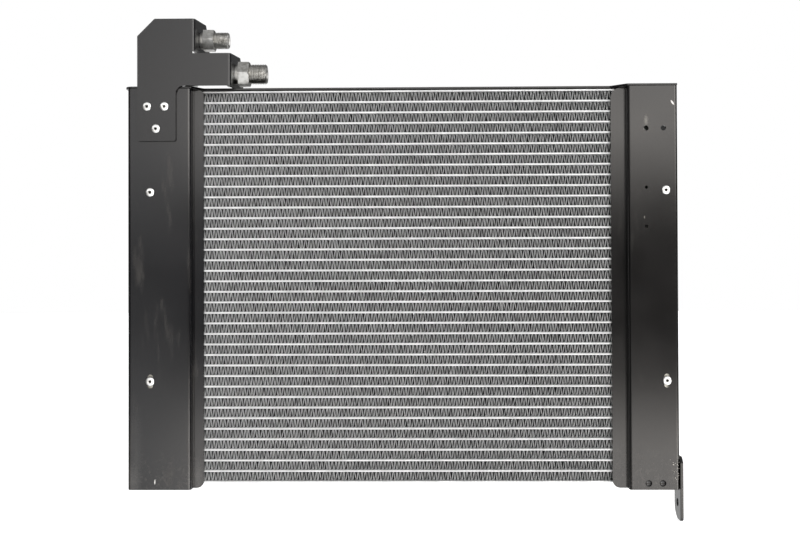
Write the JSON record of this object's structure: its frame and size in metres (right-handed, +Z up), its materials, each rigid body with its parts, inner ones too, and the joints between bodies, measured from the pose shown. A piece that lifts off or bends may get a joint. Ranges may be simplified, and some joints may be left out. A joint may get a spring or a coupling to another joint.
{
  "type": "hydraulic oil cooler",
  "caption": "Air-cooled hydraulic oil cooler: flat-tube and fin core between two folded black side channels, with threaded unions on a corner bracket and a mounting ear.",
  "frame": {"origin": "centre of the overall bounding box", "axes": "+X to the cooler's right seen from its front, along the tubes; +Y from the front face to the back, along the air flow; +Z up"},
  "size_m": [0.5218, 0.0746, 0.4774],
  "materials": {
    "core_aluminium": "mill-finish brazed aluminium tubes, fins and side plates",
    "header_aluminium": "drawn aluminium tube, brazed",
    "black_paint": "satin black powder coat on folded sheet steel, scuffed",
    "bracket_paint": "satin black powder coat on folded sheet steel",
    "zinc_plate": "zinc-plated turned steel, dull",
    "clip_steel": "zinc-plated strip steel",
    "rivet_aluminium": "bright aluminium blind rivets"
  },
  "bodies": {
    "root": {"bottom_side_plate": "core_aluminium", "bracket_rivet_1": "rivet_aluminium", "bracket_rivet_2": "rivet_aluminium", "bracket_rivet_3": "rivet_aluminium", "core_fin_top": "core_aluminium", "core_pack_01": "core_aluminium", "core_pack_02": "core_aluminium", "core_pack_03": "core_aluminium", "core_pack_04": "core_aluminium", "core_pack_05": "core_aluminium", "core_pack_06": "core_aluminium", "core_pack_07": "core_aluminium", "core_pack_08": "core_aluminium", "core_pack_09": "core_aluminium", "core_pack_10": "core_aluminium", "core_pack_11": "core_aluminium", "core_pack_12": "core_aluminium", "core_pack_13": "core_aluminium", "core_pack_14": "core_aluminium", "core_pack_15": "core_aluminium", "core_pack_16": "core_aluminium", "core_pack_17": "core_aluminium", "core_pack_18": "core_aluminium", "fitting_bracket": "bracket_paint", "header_baffle": "header_aluminium", "left_header": "header_aluminium", "left_header_bottom_cap": "header_aluminium", "left_header_top_cap": "header_aluminium", "left_lower_header_clip": "clip_steel", "left_lower_rivet": "rivet_aluminium", "left_side_channel": "black_paint", "left_upper_header_clip": "clip_steel", "left_upper_rivet": "rivet_aluminium", "lower_lock_nut": "zinc_plate", "lower_pipe": "header_aluminium", "lower_union": "zinc_plate", "mounting_ear": "black_paint", "right_header": "header_aluminium", "right_header_bottom_cap": "header_aluminium", "right_header_top_cap": "header_aluminium", "right_lower_header_clip": "clip_steel", "right_lower_rivet": "rivet_aluminium", "right_side_channel": "black_paint", "right_upper_header_clip": "clip_steel", "right_upper_rivet": "rivet_aluminium", "top_rail": "black_paint", "top_side_plate": "core_aluminium", "upper_lock_nut": "zinc_plate", "upper_pipe": "header_aluminium", "upper_union": "zinc_plate"}
  },
  "joints": []
}
